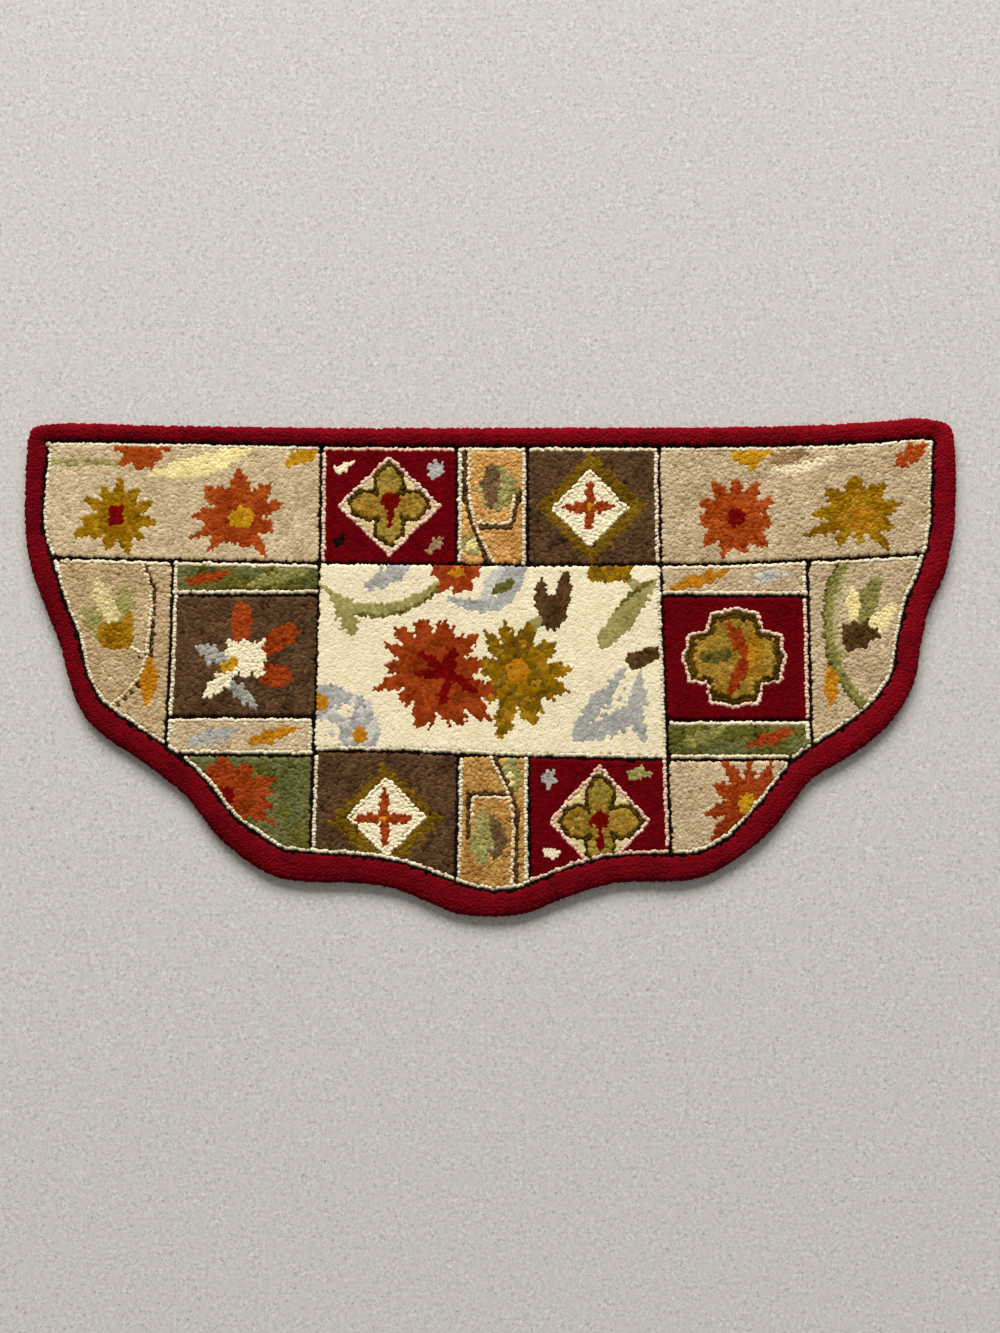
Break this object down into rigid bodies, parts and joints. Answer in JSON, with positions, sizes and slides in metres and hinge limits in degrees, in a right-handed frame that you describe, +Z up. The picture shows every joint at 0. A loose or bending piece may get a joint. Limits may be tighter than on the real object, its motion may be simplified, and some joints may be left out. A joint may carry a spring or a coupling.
{
  "type": "hooked rug",
  "caption": "Flat hooked wool hearth rug with a straight back edge, a scalloped half-round front, a plain raised border and a field of outlined blocks with leaf and flower motifs.",
  "frame": {"origin": "on the floor, under the middle of the rug's bounding box", "axes": "+X along the straight back edge, +Y towards the straight back edge, +Z up out of the pile"},
  "size_m": [1.17, 0.626, 0.0114],
  "materials": {
    "wool_pile": "matte",
    "foundation_cloth": "matte"
  },
  "bodies": {
    "root": {"hooked_rug": "wool_pile"}
  },
  "joints": []
}
